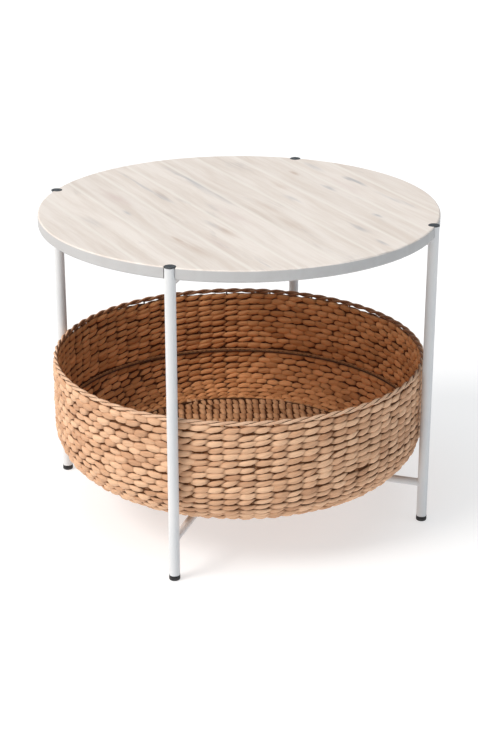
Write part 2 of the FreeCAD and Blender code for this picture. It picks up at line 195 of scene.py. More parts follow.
def new_group(name, kind, inputs, outputs):
    """A node group with named sockets. Each is (name, type) or (name, type, value)."""
    tree = bpy.data.node_groups.new(name, kind)
    for direction, rows in (("INPUT", inputs), ("OUTPUT", outputs)):
        for label, kind_of, *default in rows:
            kind_of = "NodeSocket" + kind_of
            socket = tree.interface.new_socket(label, in_out=direction, socket_type=kind_of)
            if default:
                socket.default_value = default[0]
    entry = tree.nodes.new("NodeGroupInput").outputs
    leave = tree.nodes.new("NodeGroupOutput").inputs
    return tree, entry, leave


# %% [markdown]
# ## Shared effects
# Grain, fibres and a powder coat's orange peel come up in more than one finish, so each is a node
# group that is built once. A group gives back only colours, masks and heights, and the shader itself
# stays in the material.

# %% Noise in layers
def noise(tree, where, scale, detail=2.0, rough=0.5, twist=0.0):
    """Smooth noise between 0 and 1."""
    inputs = {"Vector": where, "Scale": scale, "Detail": detail, "Roughness": rough, "Distortion": twist}
    return add(tree, "ShaderNodeTexNoise", inputs).outputs["Fac"]


def swell(tree, where, scale, detail):
    """Noise that swings to either side of zero."""
    return less(tree, noise(tree, where, scale, detail), 0.5)


def blend_colour(tree, mask, first, second):
    """The second colour over the first, as far as the mask says."""
    node = tree.nodes.new("ShaderNodeMix")
    node.data_type = "RGBA"
    for slot, value in ((0, mask), (6, first), (7, second)):
        feed(tree, node.inputs[slot], value)
    return node.outputs[2]


def new_material(name, **fixed):
    """A material with its shader. The values in fixed are the same all over the piece."""
    material = bpy.data.materials.new(name)
    material.use_nodes = True
    shader = material.node_tree.nodes["Principled BSDF"]
    for key, value in fixed.items():
        shader.inputs[key.replace("_", " ")].default_value = value
    return material, material.node_tree, shader


def object_place(tree):
    return add(tree, "ShaderNodeTexCoord").outputs["Object"]


def finish_shader(tree, shader, colour, roughness, height, strength, distance):
    """Colour, roughness, and relief too fine to model, from a height between 0 and 1."""
    feed(tree, shader.inputs["Base Color"], colour)
    feed(tree, shader.inputs["Roughness"], roughness)
    node = add(tree, "ShaderNodeBump", {"Strength": strength, "Distance": distance, "Height": height})
    tree.links.new(node.outputs["Normal"], shader.inputs["Normal"])


def group_in(tree, group, **inputs):
    """Use a group in a tree of the same kind."""
    node = tree.nodes.new(tree.bl_idname.replace("Tree", "Group"))
    node.node_tree = group
    for name, value in inputs.items():
        feed(tree, node.inputs[name.replace("_", " ")], value)
    return node.outputs


# %% Skin of paint and of moulded parts as a group
def build_skin_group():
    """Fine pits and slow unevenness, for paint and for moulded parts."""
    tree, entry, leave = new_group(
        "fine skin", "ShaderNodeTree",
        [("Vector", "Vector"), ("Pit Scale", "Float", 900.0), ("Wave Scale", "Float", 14.0)],
        [("Height", "Float"), ("Mottle", "Float")],
    )
    pits = noise(tree, entry["Vector"], entry["Pit Scale"], 1.0)
    waves = noise(tree, entry["Vector"], entry["Wave Scale"], 3.0)
    feed(tree, leave["Height"], total(tree, pits, product(tree, waves, 0.4)))
    feed(tree, leave["Mottle"], spread(tree, waves, 0.35, 0.65))
    return tree


skin_group = build_skin_group()


# %% [markdown]
# ## Painted tube
# The frame is white powder coat on steel. A coat isn't a flat colour: it has a fine orange peel, and it
# drifts slowly between a warmer and a cooler white. Paint, moulded plastic, rubber and plated metal all
# have pits and slow unevenness, so one recipe serves them, with sizes and colours of its own for each.

# %% One recipe for paint, plastic, rubber and metal
def skinned(name, scales, colours, rough, relief, dust_level=None, **fixed):
    """Mottled between two colours, with pits. Up to a dust level, the second colour is dust."""
    material, tree, shader = new_material(name, **fixed)
    where = object_place(tree)
    skin = group_in(tree, skin_group, Vector=where, Pit_Scale=scales[0], Wave_Scale=scales[1])
    mask = skin["Mottle"]
    if dust_level:
        mask = product(tree, spread(tree, split(tree, where)["Z"], dust_level, 0.0), mask)
    colour, dullness = blend_colour(tree, mask, *colours), spread(tree, skin["Mottle"], 0, 1, *rough)
    finish_shader(tree, shader, colour, dullness, skin["Height"], *relief)
    return material


# %% Powder coat
WARM_WHITE, COOL_WHITE = (0.745, 0.742, 0.737, 1), (0.69, 0.70, 0.71, 1)
coat = skinned("white powder coat", (1400.0, 11.0), (WARM_WHITE, COOL_WHITE), (0.34, 0.44), (0.12, 0.0004),
               Specular_IOR_Level=0.45, Coat_Weight=0.15, Coat_Roughness=0.25)
painted = [name for name in nodes if name.startswith("leg_") or "_bar" in name]


def finish_node(name, material):
    """Give a CAD node its finish."""
    nodes[name].data.materials.clear()
    nodes[name].data.materials.append(material)


for name in painted:
    finish_node(name, coat)
print("painted", len(painted), "tubes")

# %% [markdown]
# ## Caps, feet and screws
# The caps are glossy moulded plastic and the feet a duller rubber. Both are black, so what tells them
# apart is roughness: the caps pick up a clear highlight, the feet a broad one with scuffs.

# %% Black plastic, rubber and zinc
cap_plastic = skinned(
    "black cap plastic", (2500.0, 160.0), ((0.035, 0.037, 0.04, 1), (0.075, 0.078, 0.082, 1)),
    (0.22, 0.38), (0.1, 0.0002), Specular_IOR_Level=0.5)
foot_rubber = skinned(
    "black foot rubber", (1800.0, 220.0), ((0.012, 0.012, 0.013, 1), (0.09, 0.085, 0.08, 1)),
    (0.45, 0.62), (0.2, 0.0003), dust_level=0.006, Specular_IOR_Level=0.35)
zinc_plate = skinned(
    "zinc plate", (1500.0, 300.0), ((0.55, 0.56, 0.58, 1), (0.72, 0.71, 0.66, 1)),
    (0.28, 0.45), (0.15, 0.0002), Metallic=1.0)
for name in nodes:
    if name.startswith("cap_"):
        finish_node(name, cap_plastic)
    elif name.startswith("foot_"):
        finish_node(name, foot_rubber)
finish_node("top_screws", zinc_plate)

# %% [markdown]
# ## Whitewashed boards
# Each board is its own timber, washed with thin white: pale all over, with soft beige and grey bands
# along the grain, a few darker streaks where a knot was near, and a pale line of filler at the joints.
# The pattern is noise stretched along the boards. Each board has its own seed, so that it never runs
# from one board into the next. The rim's side is painted greyer, as painted shade.

# %% Where the boards' joints lie
BOARD_TURN = math.radians(-45)
GRAIN = Vector((math.cos(BOARD_TURN), math.sin(BOARD_TURN), 0))
ACROSS = Vector((-GRAIN.y, GRAIN.x, 0))


def span_across(name):
    """Lowest and highest place of a node, measured across the boards."""
    places = [v.co.dot(ACROSS) for v in nodes[name].data.vertices]
    return min(places), max(places)


boards = sorted(name for name in nodes if name.startswith("top_board_"))
spans = {name: span_across(name) for name in boards}
print("board widths in mm", [round((b - a) / MM, 1) for a, b in spans.values()])


# %% Board grain as a group
def build_grain_group():
    """Bands, streaks and fibres that run along one board."""
    tree, entry, leave = new_group(
        "washed grain", "ShaderNodeTree",
        [("Vector", "Vector"), ("Seed", "Float", 0.0), ("Stretch", "Float", 14.0)],
        [("Bands", "Float"), ("Streaks", "Float"), ("Fibres", "Float"), ("Knots", "Float")],
    )
    turned = turn_round(tree, entry["Vector"], -BOARD_TURN)
    parts = split(tree, turned)
    along, side, up = parts["X"], parts["Y"], parts["Z"]
    slip = product(tree, entry["Seed"], 3.7)
    along = total(tree, along, slip)
    squeezed = ratio(tree, along, entry["Stretch"])
    sway = product(tree, swell(tree, combine(tree, along, slip, 0.0), 5.0, 2.0), 0.02)
    bent = total(tree, side, sway)
    wide = combine(tree, squeezed, bent, total(tree, up, slip))
    feed(tree, leave["Bands"], noise(tree, wide, 55.0, 4.0, 0.6))
    feed(tree, leave["Streaks"], noise(tree, wide, 150.0, 3.0, 0.65, 0.3))
    fine = combine(tree, ratio(tree, along, 30.0), bent, up)
    feed(tree, leave["Fibres"], noise(tree, fine, 1100.0, 2.0))
    patch = combine(tree, ratio(tree, along, 3.2), bent, slip)
    feed(tree, leave["Knots"], noise(tree, patch, 24.0, 2.0, 0.5, 0.6))
    return tree


grain_group = build_grain_group()


# %% [markdown]
# Over the even grain lie the marks that tell one board from the next: smoky grey streaks, a few small
# knots, and warmer or pinker patches. They are few and each is different, so they are listed one by one,
# as ovals drawn out along the grain, with edges that the grain frays.

# %% Marks in the boards, in millimetres: along the grain, across it, half length, half width, strength
SMOKY_MARKS = (
    (-222, -4, 50, 7, 0.35), (-150, -3, 60, 9, 0.70), (-62, -1, 45, 6, 0.50), (-158, -84, 90, 3.4, 0.60),
    (-95, -81, 28, 6, 0.50), (67, -76, 24, 6, 0.50), (-7, 93, 22, 6, 0.65), (-31, 176, 18, 5, 0.85),
    (-61, 228, 16, 5, 0.9), (-38, 233, 20, 4, 0.85), (133, 165, 11, 4, 0.9), (180, 108, 22, 4.5, 0.85),
    (69, 231, 34, 4, 0.6), (101, 237, 30, 5, 0.5), (250, 101, 16, 4, 0.8), (-157, 215, 26, 7, 0.5),
    (-26, -228, 28, 8, 0.35), (-47, -164, 16, 5, 0.7),
)
WARM_MARKS = (
    (97, -72, 34, 8, 0.6), (164, -149, 34, 8, 0.5), (110, -153, 20, 4, 0.8), (-74, 110, 28, 8, 0.5),
    (-132, 168, 14, 4, 0.8), (-112, -79, 28, 6, 0.5), (20, 40, 46, 9, 0.4), (120, 30, 40, 8, 0.35),
)
PINK_MARKS = (
    (-130, -149, 42, 12, 0.6), (30, -30, 60, 12, 0.4), (-20, 205, 50, 12, 0.35), (150, -110, 50, 10, 0.35),
)


def build_mark_group():
    tree, entry, leave = new_group(
        "oval mark", "ShaderNodeTree",
        [("Place", "Vector"), ("Middle", "Vector"), ("Half Size", "Vector", (1, 1, 1)),
         ("Strength", "Float", 1.0), ("Fray", "Float", 0.5)],
        [("Mask", "Float")],
    )
    from_middle = vector(tree, "SUBTRACT", entry["Place"], entry["Middle"])
    reach = vector(tree, "LENGTH", vector(tree, "DIVIDE", from_middle, entry["Half Size"]))
    frayed = total(tree, reach, product(tree, less(tree, entry["Fray"], 0.5), 3.0))
    feed(tree, leave["Mask"], product(tree, spread(tree, frayed, 1.6, -0.4, smooth=True), entry["Strength"]))
    return tree


mark_group = build_mark_group()


def lay_marks(tree, colour, place, fray, marks, span, mark_colour):
    """Add those marks to a board's colour whose middle lies in the board."""
    low, high = span
    for along, across, half_long, half_wide, strength in marks:
        if low < across * MM < high:
            mask = group_in(tree, mark_group, Place=place, Middle=(along * MM, across * MM, 0), Fray=fray,
                            Half_Size=(half_long * MM, half_wide * MM, 1), Strength=strength)["Mask"]
            colour = blend_colour(tree, mask, colour, mark_colour)
    return colour


# %% Finish of one board
PALE_WASH, BAND = (0.905, 0.825, 0.757), (0.74, 0.64, 0.56, 1)
FLECK, FIBRE = (0.56, 0.52, 0.50, 1), (0.60, 0.50, 0.42, 1)
JOINT_SHADE, FILLER, PAINTED_SIDE_SHADE = (0.62, 0.52, 0.45, 1), (0.95, 0.895, 0.82, 1), (0.43, 0.44, 0.45, 1)
MARKS = (
    (PINK_MARKS, (0.72, 0.58, 0.54, 1)), (WARM_MARKS, (0.60, 0.46, 0.37, 1)),
    (SMOKY_MARKS, (0.50, 0.485, 0.49, 1)),
)
JOINT_LIMIT = 0.29  # joints lie nearer to the middle than this, and the outermost board ends beyond it
SHADE_REACH = (0.0015, 0.014)  # how far a joint's shade reaches into the board beside it
FILLER_REACH = (0.0006, 0.0052)
EDGE_DROP = (0.0006, 0.0024)  # how far under the face the side's tone begins and is full
MIDDLE_JOINT, MIDDLE_SHADE, JOINT_DEPTH = 0.01, 0.55, 0.22  # the joint at the middle is the darkest
TOP_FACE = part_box(boards[4])[1][2]


def washed_board(name, seed, tone, span):
    """Its own tone, grain and marks, a pale line of filler at its joints, and painted shade on its side
    edge.
    """
    material, tree, shader = new_material("washed " + name.replace("_", " "), Specular_IOR_Level=0.3)
    where = add(tree, "ShaderNodeTexCoord").outputs
    along = vector(tree, "DOT_PRODUCT", where["Object"], tuple(GRAIN))
    across = vector(tree, "DOT_PRODUCT", where["Object"], tuple(ACROSS))
    place = combine(tree, along, across, 0.0)
    grain = group_in(tree, grain_group, Vector=where["Object"], Seed=seed, Stretch=12.0)
    bands, streaks, fibres = grain["Bands"], grain["Streaks"], grain["Fibres"]
    pale = tuple(level * tone for level in PALE_WASH) + (1,)
    colour = blend_colour(tree, spread(tree, bands, 0.40, 0.66, 0.0, 0.7), pale, BAND)
    fleck = product(tree, spread(tree, grain["Knots"], 0.62, 0.74), spread(tree, streaks, 0.45, 0.62), 0.5)
    colour = blend_colour(tree, fleck, colour, FLECK)
    for marks, mark_colour in MARKS:
        colour = lay_marks(tree, colour, place, streaks, marks, span, mark_colour)
    colour = blend_colour(tree, spread(tree, fibres, 0.35, 0.75, 0.0, 0.12), colour, FIBRE)
    low, high = span
    depth = MIDDLE_SHADE if abs(low) < MIDDLE_JOINT else JOINT_DEPTH
    shade = spread(tree, less(tree, across, low), *SHADE_REACH, depth, 0.0)
    colour = blend_colour(tree, product(tree, shade, spread(tree, bands, 0.3, 0.6)), colour, JOINT_SHADE)
    for edge in (low, high):
        if abs(edge) < JOINT_LIMIT:
            off = absolute(tree, less(tree, across, edge))
            filler = spread(tree, off, *FILLER_REACH, 0.62, 0.0, smooth=True)
            filler = product(tree, filler, spread(tree, bands, 0.3, 0.7, 0.55, 1.0))
            colour = blend_colour(tree, filler, colour, FILLER)
    # painted shade: below the top face the side is blended towards grey, for the shade on the rim's side
    height = split(tree, where["Object"])["Z"]
    begins, full = (TOP_FACE - drop for drop in EDGE_DROP)
    colour = blend_colour(tree, spread(tree, height, begins, full, 0.0, 0.8, smooth=True), colour, PAINTED_SIDE_SHADE)
    relief = total(tree, product(tree, fibres, 0.5), product(tree, streaks, 0.5))
    finish_shader(tree, shader, colour, spread(tree, streaks, 0.3, 0.7, 0.42, 0.58), relief, 0.12, 0.0006)
    return material


BOARD_TONES = (1.0, 1.02, 0.98, 1.01, 1.0, 0.985, 0.99, 0.97, 0.985, 0.96)
for number, name in enumerate(boards):
    tone = BOARD_TONES[number % len(BOARD_TONES)]
    finish_node(name, washed_board(name, 1.0 + number * 1.37, tone, spans[name]))
print("boards washed", len(boards))

# %% [markdown]
# ## Light and floor
# The table stands in a white studio. One broad warm light comes from the left, a white one from
# overhead and a weaker cool one from the right, and the world fills in the rest. Suns are used, because
# they light a wide floor evenly, and a large angle keeps their shadows soft.

# %% Lights
def sun(name, turn, tilt, strength, colour, softness):
    lamp = bpy.data.lights.new(name, "SUN")
    lamp.energy, lamp.color, lamp.angle = strength, colour, math.radians(softness)
    holder = bpy.data.objects.new(name, lamp)
    height = math.radians(tilt)
    coming_from = seen_from(turn) * math.cos(height) + Vector((0, 0, math.sin(height)))
    holder.rotation_euler = coming_from.to_track_quat("Z", "Y").to_euler()
    bpy.context.scene.collection.objects.link(holder)


sun("key light", -60, 45, 1.95, (1.0, 0.965, 0.93), 25)
sun("top light", 0, 88, 0.62, (1.0, 1.0, 1.0), 50)
sun("fill light", 68, 26, 0.40, (0.74, 0.87, 1.0), 50)


# %% [markdown]
# The studio isn't the same all round. Its left side is a bright warm wall and its right side is dimmer
# and cool, which is what shades the right-hand legs and the right of the rim. The floor gives off a
# little light of its own, which keeps the shadows on it pale.

# %% World
def build_studio(left=0.80, right=0.06):
    world = bpy.data.worlds.new("studio")
    world.use_nodes = True
    tree = world.node_tree
    where = add(tree, "ShaderNodeTexCoord").outputs["Generated"]
    leftward = vector(tree, "DOT_PRODUCT", where, tuple(seen_from(-85)))
    share = spread(tree, leftward, -0.7, 0.8, smooth=True)
    colour = blend_colour(tree, share, (0.62, 0.82, 1.0, 1), (1.0, 0.975, 0.945, 1))
    feed(tree, tree.nodes["Background"].inputs["Color"], colour)
    feed(tree, tree.nodes["Background"].inputs["Strength"], spread(tree, share, 0, 1, right, left))
    bpy.context.scene.world = world


build_studio()


# %% Floor
def lay_floor(half=30.0):
    mesh = bpy.data.meshes.new("floor")
    corners = [(-half, -half, 0), (half, -half, 0), (half, half, 0), (-half, half, 0)]
    mesh.from_pydata(corners, [], [(0, 1, 2, 3)])
    floor = bpy.data.objects.new("floor", mesh)
    bpy.context.scene.collection.objects.link(floor)
    material, tree, shader = new_material("pale floor", Roughness=0.9, Specular_IOR_Level=0.1)
    where = object_place(tree)
    colour = blend_colour(tree, noise(tree, where, 3.0), (0.53, 0.53, 0.53, 1), (0.51, 0.51, 0.51, 1))
    feed(tree, shader.inputs["Base Color"], colour)
    feed(tree, shader.inputs["Emission Color"], colour)
    shader.inputs["Emission Strength"].default_value = 1.08
    mesh.materials.append(material)
    floor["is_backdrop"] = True


lay_floor()


# %% [markdown]
# ## The strand's finish
# The basket is twined from the dried stems of a water plant. A flattened stem is tan, with fine fibres
# along it and soft creases across, and no two are the same colour: some are golden, some pinkish, a few
# nearly brown. Every stitch therefore carries three attributes of its own: where a point lies along and
# round the strand, which steers the fibres, and two chance numbers, which choose its tone. The same
# recipe then serves the wall, the floor and the ropes. The inside is painted darker and browner than
# the outside, as painted shade. The rope at the rim is painted dark brown where it faces inwards, and
# each stitch is painted dark where it tucks in: both are painted shade.

# %% Fibres as a group
def build_fibre_group():
    tree, entry, leave = new_group(
        "plant fibres", "ShaderNodeTree",
        [("Strand", "Vector"), ("Shift", "Float", 0.0), ("Fineness", "Float", 9.0)],
        [("Fibres", "Float"), ("Creases", "Float"), ("Blotch", "Float")],
    )
    parts = split(tree, entry["Strand"])
    moved = total(tree, parts["X"], product(tree, entry["Shift"], 60.0))
    lengthways = combine(
        tree, product(tree, moved, 0.9),
        product(tree, parts["Y"], entry["Fineness"]), product(tree, parts["Z"], entry["Fineness"]))
    feed(tree, leave["Fibres"], noise(tree, lengthways, 1.0, 3.0, 0.65, 0.15))
    soft = combine(tree, moved, product(tree, parts["Y"], 1.6), parts["Z"])
    feed(tree, leave["Creases"], noise(tree, soft, 2.6, 2.0, 0.5, 0.4))
    feed(tree, leave["Blotch"], noise(tree, soft, 1.1, 1.0))
    return tree


fibre_group = build_fibre_group()


# %% Strand material
def attribute(tree, name, output):
    return add(tree, "ShaderNodeAttribute", attribute_name=name).outputs[output]


def strand_material(name, pale, warm, brown, fineness=9.0, tucked_shade=0.8, inward_painted_shade=None):
    """Dried stem: a pale, a warm and a brown tone, chosen stitch by stitch, with painted shade where it
    tucks in and, when given, where it faces inwards.
    """
    material, tree, shader = new_material(name, Specular_IOR_Level=0.32)
    tone, tint = attribute(tree, "tone", "Fac"), attribute(tree, "tint", "Fac")
    strand = attribute(tree, "strand", "Vector")
    fibre = group_in(tree, fibre_group, Strand=strand, Shift=tone, Fineness=fineness)
    mixed = total(tree, product(tree, tone, 0.75), product(tree, fibre["Blotch"], 0.5))
    colour = blend_colour(tree, spread(tree, mixed, 0.25, 1.0), pale, warm)
    rare = product(tree, spread(tree, tint, 0.78, 1.0), 0.45)
    colour = blend_colour(tree, rare, colour, brown)
    streak = spread(tree, fibre["Fibres"], 0.50, 0.78, 0.0, 0.5)
    colour = blend_colour(tree, streak, colour, brown)
    shine = spread(tree, fibre["Fibres"], 0.46, 0.25, 0.0, 0.5)
    colour = blend_colour(tree, shine, colour, tuple(min(1.0, c * 1.15) for c in pale[:3]) + (1,))
    # painted shade: dark brown along each stitch's edges and towards its tips, where it tucks in
    parts = split(tree, strand)
    beside = spread(tree, parts["Z"], 0.42, -0.05)
    tip = spread(tree, absolute(tree, parts["X"]), 0.50, 0.86, 0.0, 0.75)
    painted_tuck_shade = product(tree, calc(tree, "MAXIMUM", beside, tip), tucked_shade)
    colour = blend_colour(tree, painted_tuck_shade, colour, (0.10, 0.032, 0.010, 1))
    # painted shade: where the strand faces the axis it is blended towards dark brown
    if inward_painted_shade:
        where = add(tree, "ShaderNodeTexCoord").outputs
        away = vector(tree, "NORMALIZE", vector(tree, "MULTIPLY", where["Object"], (1, 1, 0)))
        facing = vector(tree, "DOT_PRODUCT", away, where["Normal"])
        colour = blend_colour(tree, spread(tree, facing, 0.35, -0.45, 0.0, 0.9, smooth=True), colour, inward_painted_shade)
    dullness = spread(tree, fibre["Fibres"], 0.3, 0.7, 0.48, 0.68)
    relief = total(tree, fibre["Fibres"], product(tree, fibre["Creases"], 0.8))
    finish_shader(tree, shader, colour, dullness, relief, 0.5, 0.0009)
    return material


BROWN = (0.34, 0.14, 0.06, 1)
wall_strand = strand_material("dried strand wall", (0.86, 0.545, 0.34, 1), (0.62, 0.34, 0.19, 1), BROWN)
# painted shade: the inside's strands are darker and redder than the outside's, for the shade under the top
inner_strand_painted_shade = strand_material(
    "dried strand inside with painted shade", (0.93, 0.44, 0.185, 1), (0.65, 0.275, 0.10, 1), (0.32, 0.115, 0.034, 1))
floor_strand = strand_material(
    "dried strand floor", (0.78, 0.43, 0.225, 1), (0.56, 0.265, 0.12, 1), (0.28, 0.10, 0.03, 1))
rope_finish = dict(brown=BROWN, fineness=7.0, tucked_shade=0.0)
rim_strand = strand_material(
    "dried strand rim", (0.85, 0.57, 0.38, 1), (0.70, 0.42, 0.26, 1), inward_painted_shade=(0.27, 0.10, 0.035, 1),
    **rope_finish)
seam_strand = strand_material(
    "dried strand seam", (0.70, 0.36, 0.17, 1), (0.50, 0.22, 0.09, 1), **rope_finish)


# %% [markdown]
# ## Stitches
# The basket is twined. Two strands pass either side of each upright and cross between them, so each row
# shows a line of leaf-shaped stitches, plump in the middle and tucked in at both ends. A stitch is
# therefore the piece to model, and the rows are a rule, which is what Geometry Nodes are for. Copies of
# one ball of 56 faces are made real first, and then one formula pulls every point to its place: the
# ball is drawn out along its row, its girth shrinks towards both ends, its ends dive into the wall, and
# its edges press flat against the neighbouring rows.

# %% Helpers: values that stay with the points
def index_in(tree):
    return tree.nodes.new("GeometryNodeInputIndex").outputs[0]


def place_in(tree):
    return tree.nodes.new("GeometryNodeInputPosition").outputs[0]


def shape(tree, kind, mode=None, **inputs):
    """One step on a geometry. Its inputs are given by name, with an underscore for a space."""
    settings = {"mode": mode} if mode else {}
    named = {key.replace("_", " "): value for key, value in inputs.items()}
    return add(tree, "GeometryNode" + kind, named, **settings).outputs[0]


def store(tree, geometry, name, kind, value):
    """Write an attribute that the material reads."""
    node = add(tree, "GeometryNodeStoreNamedAttribute", {"Geometry": geometry, "Name": name},
               data_type=kind, domain="POINT")
    feed(tree, next(s for s in node.inputs if s.name == "Value" and s.enabled), value)
    return node.outputs[0]


def remember(tree, geometry, **values):
    """Keep values with each point while it is copied, and return the geometry and the kept values."""
    node = tree.nodes.new("GeometryNodeCaptureAttribute")
    feed(tree, node.inputs[0], geometry)
    for name, value in values.items():
        node.capture_items.new("VECTOR" if value.type == "VECTOR" else "FLOAT", name)
        feed(tree, node.inputs[name], value)
    return node.outputs[0], {name: node.outputs[name] for name in values}


def chance(tree, entry, low, high, number):
    """A chance number for each stitch, which is the same every time for the same seed."""
    key = index_in(tree)
    seed = total(tree, product(tree, entry["Seed"], 31.0), float(number))
    inputs = {"Min": low, "Max": high, "ID": key, "Seed": seed}
    return add(tree, "FunctionNodeRandomValue", inputs, data_type="FLOAT").outputs[1]


# %% Soft limit as a group
def build_limit_group():
    """Leave small values alone and let large ones approach a limit, as soft stems press together."""
    tree, entry, leave = new_group(
        "soft limit", "GeometryNodeTree",
        [("Value", "Float"), ("Limit", "Float", 1.0), ("Hardness", "Float", 5.0)], [("Value", "Float")])
    share = absolute(tree, ratio(tree, entry["Value"], entry["Limit"]))
    grown = total(tree, 1.0, calc(tree, "POWER", share, entry["Hardness"]))
    held = calc(tree, "POWER", grown, ratio(tree, 1.0, entry["Hardness"]))
    feed(tree, leave["Value"], ratio(tree, entry["Value"], held))
    return tree


limit_group = build_limit_group()


# %% Helpers: points for the stitches, and a stitch on each
STITCH_INPUTS = [
    ("Pinch", "Float", 0.92), ("Dive", "Float", 0.0026), ("Thickness", "Float", 0.0037),
    ("Side", "Float", 1.0), ("Crumple", "Float", 0.0012), ("Seed", "Int", 1), ("Material", "Material"),
]


def lay_points(tree, entry):
    """A point for each stitch, with the row and the column it belongs to."""
    count = product(tree, entry["Rows"], entry["Stitches"])
    points = shape(tree, "Points", Count=count)
    index = index_in(tree)
    row = calc(tree, "FLOOR", ratio(tree, total(tree, index, 0.5), entry["Stitches"]))
    return points, row, less(tree, index, product(tree, row, entry["Stitches"]))


def lay_stitches(tree, entry, points, place, along, outward, half_long, half_wide, sway, limit):
    """Put a stitch on each point, lying along its row, and return the finished geometry."""
    plump = chance(tree, entry, 0.80, 1.16, 2)
    points, kept = remember(
        tree, points, place=place, along=along, outward=outward, sway=sway, limit=limit,
        half_long=product(tree, half_long, chance(tree, entry, 0.86, 1.12, 3)),
        half_wide=product(tree, half_wide, plump),
        thickness=product(tree, entry["Thickness"], plump, chance(tree, entry, 0.88, 1.05, 4)),
        tilt=product(tree, half_wide, chance(tree, entry, -0.32, 0.32, 9)),
        tone=chance(tree, entry, 0.0, 1.0, 5), tint=chance(tree, entry, 0.0, 1.0, 6))
    ball = shape(tree, "MeshUVSphere", Segments=8, Rings=7, Radius=1.0)
    laid = shape(tree, "InstanceOnPoints", Points=points, Instance=ball)
    real = shape(tree, "RealizeInstances", Geometry=laid)
    unit = split(tree, place_in(tree))
    run, side, out = unit["Z"], unit["Y"], product(tree, unit["X"], -1.0)
    girth = calc(tree, "SQRT", calc(tree, "MAXIMUM", less(tree, 1.0, product(tree, run, run)), 0.01))
    round_it = (ratio(tree, side, girth), ratio(tree, out, girth))
    real = store(tree, real, "strand", "FLOAT_VECTOR", combine(tree, run, *round_it))
    real, own = remember(tree, real, run=run, side=side, out=out)
    run, side, out = own["run"], own["side"], own["out"]
    rest = calc(tree, "MAXIMUM", less(tree, 1.0, product(tree, run, run)), 0.0001)
    narrow = calc(tree, "POWER", rest, less(tree, entry["Pinch"], 0.5))
    quarter = product(tree, run, math.pi / 2)
    swayed = product(tree, calc(tree, "SINE", quarter), kept["sway"])
    wide = total(tree, product(tree, side, narrow, kept["half_wide"]), swayed)
    wide = total(tree, wide, product(tree, run, kept["tilt"]))
    pressed = group_in(tree, limit_group, Value=wide, Limit=kept["limit"])["Value"]
    sunk = product(tree, less(tree, 1.0, calc(tree, "COSINE", quarter)), entry["Dive"])
    flat_back = calc(tree, "MAXIMUM", out, product(tree, out, 0.15))
    high = less(tree, product(tree, flat_back, narrow, kept["thickness"]), sunk)
    upward = vector(tree, "CROSS_PRODUCT", kept["outward"], kept["along"])
    moved = kept["place"]
    far = product(tree, run, kept["half_long"])
    for way, by in ((kept["along"], far), (upward, pressed), (kept["outward"], high)):
        moved = vector(tree, "ADD", moved, vector(tree, "SCALE", way, by))
    real = shape(tree, "SetPosition", Geometry=real, Position=moved)
    real = store(tree, real, "tone", "FLOAT", kept["tone"])
    real = store(tree, real, "tint", "FLOAT", kept["tint"])
    return crumple(tree, entry, real)


def crumple(tree, entry, geometry):
    """Push a surface in and out by a slow noise, smooth it and give it its material."""
    place = place_in(tree)
    normal = tree.nodes.new("GeometryNodeInputNormal").outputs[0]
    uneven = product(tree, swell(tree, place, 170.0, 2.0), product(tree, entry["Crumple"], 2.0))
    push = vector(tree, "SCALE", normal, uneven)
    moved = shape(tree, "SetPosition", Geometry=geometry, Offset=push)
    smooth = shape(tree, "SetShadeSmooth", Geometry=moved)
    real = shape(tree, "RealizeInstances", Geometry=smooth)
    return shape(tree, "SetMaterial", Geometry=real, Material=entry["Material"])


def make_by_rule(name, mesh, tree, **inputs):
    """Run a tree on a mesh and return its result as a plain object."""
    maker = bpy.data.objects.new(name + " maker", mesh)
    bpy.context.scene.collection.objects.link(maker)
    rule = maker.modifiers.new("rule", "NODES")
    rule.node_group = tree
    wanted = {key.replace("_", " "): value for key, value in inputs.items()}
    for item in tree.interface.items_tree:
        if item.in_out == "INPUT" and item.name in wanted:
            rule[item.identifier] = wanted.pop(item.name)
    if wanted:
        raise ValueError("no such input: " + ", ".join(wanted))
    ready = maker.evaluated_get(bpy.context.evaluated_depsgraph_get())
    result = bpy.data.meshes.new_from_object(ready)
    result.name = name
    bpy.data.objects.remove(maker)
    piece = bpy.data.objects.new(name, result)
    bpy.context.scene.collection.objects.link(piece)
    print(name, sum(len(p.vertices) - 2 for p in result.polygons), "triangles")
    return piece


# %% [markdown]
# ## The basket's profile
# The wall is a surface of revolution, so one line says where every row lies: straight down from the rim,
# round the corner and in to the floor. It runs along the middle of the wall. All of its sizes are read
# from the frame's own boxes.

# %% Profile
wall_low, wall_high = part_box("basket_wall")
floor_low, floor_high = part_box("basket_floor")
WALL_THICK = floor_high[2] - floor_low[2]
CORE_RADIUS = wall_high[0] - WALL_THICK / 2
FLOOR_RADIUS = floor_high[0]
CORNER = CORE_RADIUS - FLOOR_RADIUS
FLOOR_LEVEL = (floor_low[2] + floor_high[2]) / 2
BEND_LEVEL = FLOOR_LEVEL + CORNER
WALL_TOP = wall_high[2]
CORNER_STEPS = 24


def core_line(top):
    """The middle of the wall, from a height down to the floor's edge, as (radius, height) pairs."""
    line = [(CORE_RADIUS, top)]
    for step in range(CORNER_STEPS + 1):
        angle = math.radians(90) * step / CORNER_STEPS
        line.append((FLOOR_RADIUS + CORNER * math.cos(angle), BEND_LEVEL - CORNER * math.sin(angle)))
    return line


def line_mesh(name, line):
    """A line of (radius, height) pairs as a mesh of edges in the XZ plane."""
    mesh = bpy.data.meshes.new(name)
    mesh.from_pydata([(r, 0, z) for r, z in line], [(i, i + 1) for i in range(len(line) - 1)], [])
    return mesh


